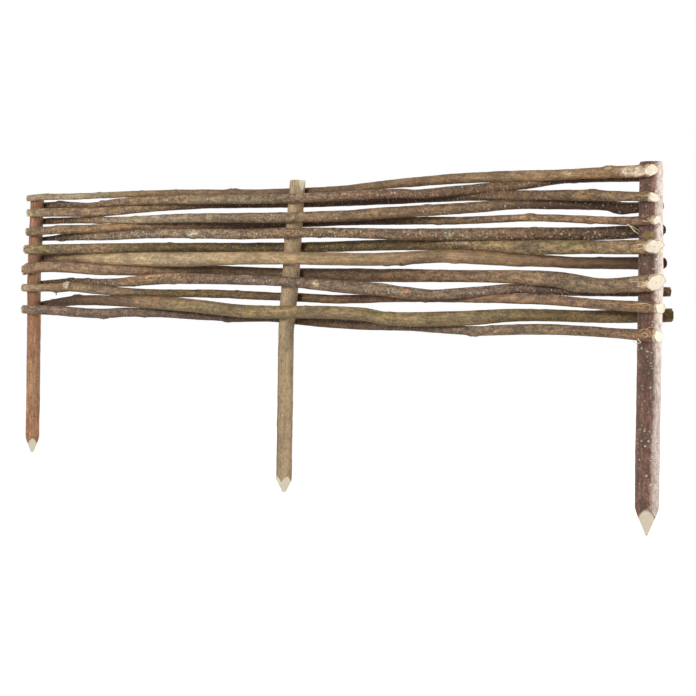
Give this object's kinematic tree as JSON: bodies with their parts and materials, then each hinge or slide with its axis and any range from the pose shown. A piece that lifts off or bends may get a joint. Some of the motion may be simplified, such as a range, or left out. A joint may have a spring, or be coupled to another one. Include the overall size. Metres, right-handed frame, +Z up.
{
  "type": "woven hazel bed edging",
  "caption": "Low garden border panel of round hazel rods woven in and out of pointed wooden stakes, driven into soil to edge a bed.",
  "frame": {"origin": "on the middle stake's axis at soil level, where the stakes' legs go into the ground", "axes": "+X along the edging to the right as seen from its face, +Y away from that viewer, +Z up"},
  "size_m": [1.2039, 0.0698, 0.4712],
  "materials": {
    "bark_tan": "smooth tan bark, olive to warm brown, fine pale pores",
    "bark_speckled": "brown bark with many pale pores",
    "bark_purple": "dark purple-brown bark with pale pores",
    "bark_grey": "grey-brown bark",
    "bark_olive": "tan-olive bark",
    "stake_bark_red": "reddish-brown bark in lengthwise bands",
    "stake_bark_grey": "grey-tan bark with olive edges",
    "stake_bark_dark": "dark purple-brown bark with pale pores",
    "cut_wood": "fresh cream cut wood at the ends and points"
  },
  "bodies": {
    "root": {"left_stake": "stake_bark_red", "middle_stake": "stake_bark_grey", "right_stake": "stake_bark_dark", "rod_01": "bark_tan", "rod_02": "bark_speckled", "rod_03": "bark_purple", "rod_04": "bark_grey", "rod_05": "bark_olive", "rod_06": "bark_speckled", "rod_07": "bark_olive", "rod_08": "bark_tan", "rod_09": "bark_purple", "rod_10": "bark_speckled", "rod_11": "bark_grey", "rod_12": "bark_olive", "rod_13": "bark_purple"}
  },
  "joints": []
}
